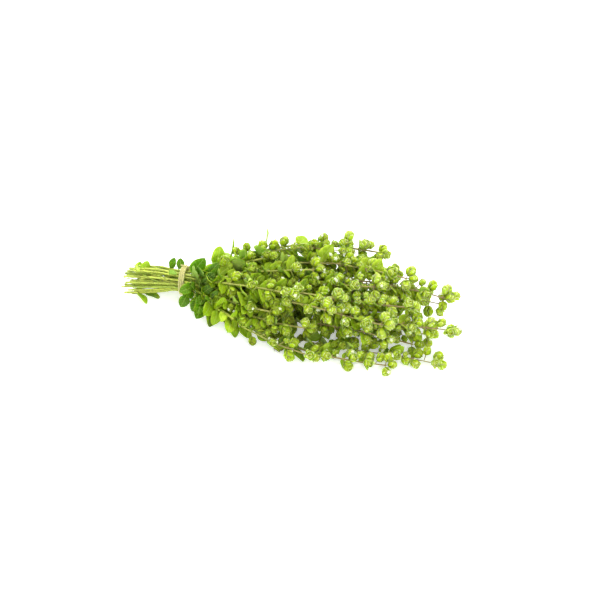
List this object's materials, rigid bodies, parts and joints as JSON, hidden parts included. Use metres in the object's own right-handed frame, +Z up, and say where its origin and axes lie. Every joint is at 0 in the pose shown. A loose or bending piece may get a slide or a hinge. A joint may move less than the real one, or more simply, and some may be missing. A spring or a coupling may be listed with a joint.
{
  "type": "tied bunch of flowering oregano",
  "caption": "Bunch of cut flowering oregano lying on its side: square stems tied with twine, fanning out into paired leaves and knotted flower heads.",
  "frame": {"origin": "on the table, below the middle of the bunch's bounding box", "axes": "+X from the cut ends towards the flower heads, +Z up from the table on which the bunch lies"},
  "size_m": [0.2504, 0.1073, 0.0433],
  "materials": {
    "flowering_sprigs": "matt fresh plant tissue",
    "bright_leaves": "matt fresh leaf",
    "dark_leaves": "matt fresh leaf",
    "twine": "rough jute twine"
  },
  "bodies": {
    "root": {"leafy_sprig_20": "dark_leaves", "leafy_sprig_21": "dark_leaves", "leafy_sprig_22": "bright_leaves", "leafy_sprig_23": "bright_leaves", "sprig_01": "flowering_sprigs", "sprig_02": "flowering_sprigs", "sprig_03": "flowering_sprigs", "sprig_04": "flowering_sprigs", "sprig_05": "flowering_sprigs", "sprig_06": "flowering_sprigs", "sprig_07": "flowering_sprigs", "sprig_08": "flowering_sprigs", "sprig_09": "flowering_sprigs", "sprig_10": "flowering_sprigs", "sprig_11": "flowering_sprigs", "sprig_12": "flowering_sprigs", "sprig_13": "flowering_sprigs", "sprig_14": "flowering_sprigs", "sprig_15": "flowering_sprigs", "sprig_16": "flowering_sprigs", "sprig_17": "flowering_sprigs", "sprig_18": "flowering_sprigs", "sprig_19": "flowering_sprigs", "sprig_24": "flowering_sprigs", "sprig_25": "flowering_sprigs", "sprig_26": "flowering_sprigs", "sprig_27": "flowering_sprigs", "sprig_28": "flowering_sprigs", "sprig_29": "flowering_sprigs", "sprig_30": "flowering_sprigs", "sprig_31": "flowering_sprigs", "twine": "twine"}
  },
  "joints": []
}
